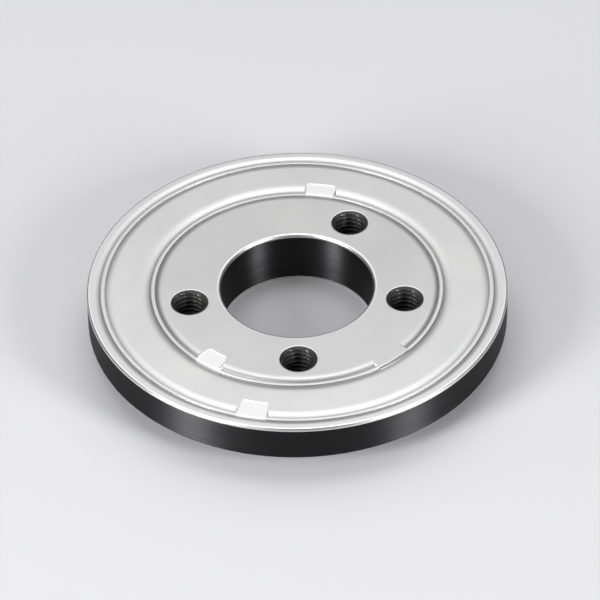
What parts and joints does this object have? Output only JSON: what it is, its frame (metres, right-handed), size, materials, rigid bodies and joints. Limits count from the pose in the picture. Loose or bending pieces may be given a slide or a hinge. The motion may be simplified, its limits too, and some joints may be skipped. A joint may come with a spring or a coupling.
{
  "type": "machined ring plate",
  "caption": "Flat machined metal ring plate with a central bore, tapped bolt holes, and narrow concentric ridge tracks between shallow moats on its face.",
  "frame": {"origin": "on the bore's axis, on the flat underside of the spigot", "axes": "+Z along the bore's axis, out of the tracked face; +X towards the side with the right tapped hole, -Y towards the side with the front tapped hole"},
  "size_m": [0.096, 0.096, 0.013],
  "materials": {
    "ground_steel": "satin ground face, dark turned walls, bright chamfers"
  },
  "bodies": {
    "root": {"ring_plate": "ground_steel"}
  },
  "joints": []
}
